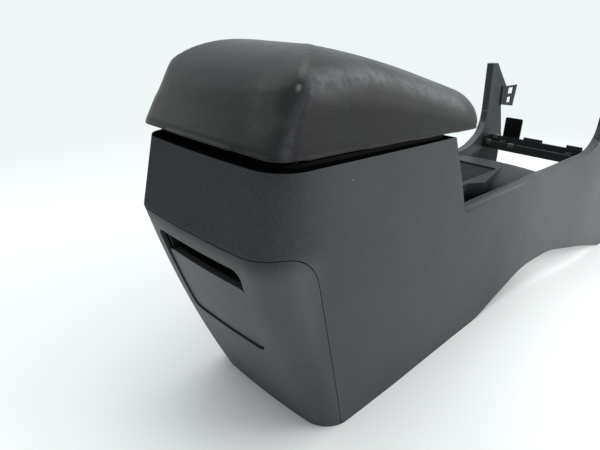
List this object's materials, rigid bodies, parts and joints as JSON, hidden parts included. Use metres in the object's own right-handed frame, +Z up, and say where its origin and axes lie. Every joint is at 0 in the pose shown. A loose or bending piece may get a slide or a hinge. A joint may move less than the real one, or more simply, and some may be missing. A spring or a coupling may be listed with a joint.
{
  "type": "car center console",
  "caption": "Floor console with a padded hinged armrest over a storage box, a tip-out rear bin, a deck with tray and well, and two upright horns at the front.",
  "frame": {"origin": "middle of the footprint, on the floor that the side walls stand on", "axes": "+Y forward along the console towards the horns, +X to the right of one who faces forward, +Z up"},
  "size_m": [0.2516, 0.9, 0.3878],
  "materials": {
    "charcoal_plastic": "fine grained",
    "inner_plastic": "fine grained",
    "deck_plastic": "fine grained",
    "frame_plastic": "as moulded",
    "black_plastic": "smooth",
    "tray_grey": "matt",
    "mat_rubber": "matt",
    "vinyl": "soft grained vinyl",
    "zinc_steel": "zinc plated"
  },
  "bodies": {
    "console": {"console_shell": "charcoal_plastic", "rear_panel": "charcoal_plastic", "panel_clips": "zinc_steel", "bin_housing": "inner_plastic", "bin_pins": "zinc_steel", "storage_bin": "inner_plastic", "bin_mat": "mat_rubber", "bin_screws": "zinc_steel", "hinge_bracket": "zinc_steel", "hinge_pin": "zinc_steel", "bracket_screws": "zinc_steel", "latch_striker": "zinc_steel", "striker_screws": "zinc_steel", "deck_panel": "deck_plastic", "tray_mat": "tray_grey", "crossbar": "frame_plastic", "crossbar_screws": "zinc_steel", "upright_plate": "black_plastic", "edge_clips": "zinc_steel", "horn_bracket_left": "frame_plastic", "horn_bracket_right": "frame_plastic"},
    "rear_bin": {"rear_bin": "charcoal_plastic"},
    "lid": {"lid_pad": "vinyl", "lid_base": "inner_plastic", "lid_bumpers": "mat_rubber", "hinge_leaf": "zinc_steel", "leaf_screws": "zinc_steel", "latch_pin": "zinc_steel", "latch_spring": "zinc_steel"},
    "latch": {"latch_lever": "inner_plastic"}
  },
  "joints": [
    {"name": "lid_hinge", "type": "hinge", "parent": "console", "child": "lid", "pos_m": [0, -0.4265, 0.3115], "axis": [1, 0, 0], "range_deg": [0, 90]},
    {"name": "latch_press", "type": "hinge", "parent": "lid", "child": "latch", "pos_m": [0, -0.186, 0.3076], "axis": [1, 0, 0], "range_deg": [0, 10], "stiffness_Nm_per_rad": 0.3, "springref_deg": -2.86},
    {"name": "rear_bin_tilt", "type": "hinge", "parent": "console", "child": "rear_bin", "pos_m": [0, -0.4015, 0.121], "axis": [1, 0, 0], "range_deg": [0, 35]}
  ]
}
